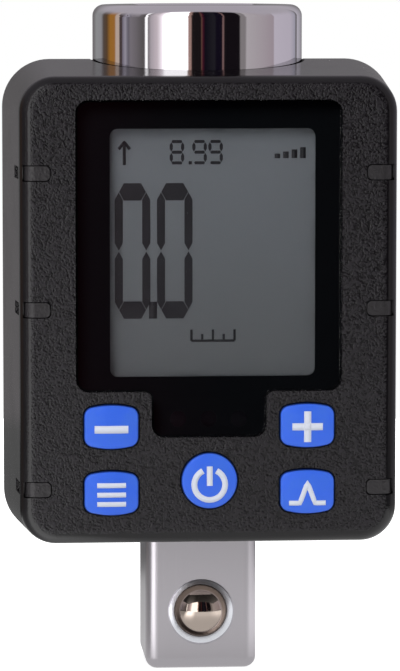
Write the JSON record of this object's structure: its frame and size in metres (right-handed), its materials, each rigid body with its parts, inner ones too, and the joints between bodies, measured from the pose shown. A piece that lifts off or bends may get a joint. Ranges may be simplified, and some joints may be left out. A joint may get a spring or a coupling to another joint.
{
  "type": "digital torque adapter",
  "caption": "Square drive adapter with a strain-gauged spindle, a moulded housing, a display window, domed keys and a battery door.",
  "frame": {"origin": "centre of the male square's end face, on the spindle's axis", "axes": "+Z along the spindle from the male square to the socket head; the display and the keys face -Y; +X is to the right seen from the front"},
  "size_m": [0.0448, 0.0433, 0.076],
  "materials": {
    "housing_plastic": "fine spark-eroded texture",
    "frame_plastic": "fine texture",
    "lens_acrylic": "polished, see-through",
    "mask_print": "printed black",
    "lcd_glass": "polished",
    "backlight_acrylic": "frosted",
    "white_plastic": "moulded",
    "connector_rubber": "layered",
    "board_laminate": "solder mask",
    "screw_steel": "zinc plated",
    "switch_plastic": "moulded",
    "web_silicone": "matt silicone",
    "lamp_resin": "clear resin",
    "drive_chrome": "polished chrome, satin on the square",
    "ball_steel": "polished",
    "spring_steel": "drawn wire",
    "gauge_foil": "polyimide film",
    "bush_plastic": "turned",
    "cell_jacket": "plain wrapped jacket",
    "contact_nickel": "nickel plated",
    "lead_pvc": "insulated wire",
    "key_blue": "soft satin",
    "plunger_plastic": "moulded"
  },
  "bodies": {
    "housing": {"front_cover": "housing_plastic", "rear_cover": "housing_plastic", "board_frame": "frame_plastic", "display_lens": "lens_acrylic", "display_mask": "mask_print", "lcd_front_glass": "lcd_glass", "lcd_rear_glass": "lcd_glass", "backlight_panel": "backlight_acrylic", "lcd_frame": "white_plastic", "lcd_connector": "connector_rubber", "main_board": "board_laminate", "board_screws": "screw_steel", "tact_switches": "switch_plastic", "keypad_web": "web_silicone", "indicator_lamps": "lamp_resin", "buzzer": "switch_plastic", "signal_chips": "switch_plastic", "torque_spindle": "drive_chrome", "detent_spring": "spring_steel", "strain_gauges": "gauge_foil", "gauge_flex": "gauge_foil", "upper_bush": "bush_plastic", "lower_bush": "bush_plastic", "locating_pin": "screw_steel", "housing_screws": "screw_steel", "battery_cells": "cell_jacket", "contact_plates": "contact_nickel", "battery_springs": "contact_nickel", "battery_leads": "lead_pvc"},
    "door": {"battery_door": "housing_plastic"},
    "ball": {"detent_ball": "ball_steel"},
    "minus": {"minus_key": "key_blue", "minus_plunger": "plunger_plastic"},
    "plus": {"plus_key": "key_blue", "plus_plunger": "plunger_plastic"},
    "mode": {"mode_key": "key_blue", "mode_plunger": "plunger_plastic"},
    "track": {"track_key": "key_blue", "track_plunger": "plunger_plastic"},
    "power": {"power_key": "key_blue", "power_plunger": "plunger_plastic"}
  },
  "joints": [
    {"name": "minus_press", "type": "slide", "parent": "housing", "child": "minus", "axis": [0, 1, 0], "range_m": [0, 0.0005], "stiffness_N_per_m": 400, "springref_m": -0.0004},
    {"name": "plus_press", "type": "slide", "parent": "housing", "child": "plus", "axis": [0, 1, 0], "range_m": [0, 0.0005], "stiffness_N_per_m": 400, "springref_m": -0.0004},
    {"name": "mode_press", "type": "slide", "parent": "housing", "child": "mode", "axis": [0, 1, 0], "range_m": [0, 0.0005], "stiffness_N_per_m": 400, "springref_m": -0.0004},
    {"name": "track_press", "type": "slide", "parent": "housing", "child": "track", "axis": [0, 1, 0], "range_m": [0, 0.0005], "stiffness_N_per_m": 400, "springref_m": -0.0004},
    {"name": "power_press", "type": "slide", "parent": "housing", "child": "power", "axis": [0, 1, 0], "range_m": [0, 0.0005], "stiffness_N_per_m": 400, "springref_m": -0.0004},
    {"name": "ball_detent", "type": "slide", "parent": "housing", "child": "ball", "axis": [0, 1, 0], "range_m": [0, 0.0012], "stiffness_N_per_m": 1500, "springref_m": -0.0008, "deforming": ["detent_spring"]},
    {"name": "door_slide", "type": "slide", "parent": "housing", "child": "door", "axis": [0, 0, -1], "range_m": [0, 0.052]}
  ]
}
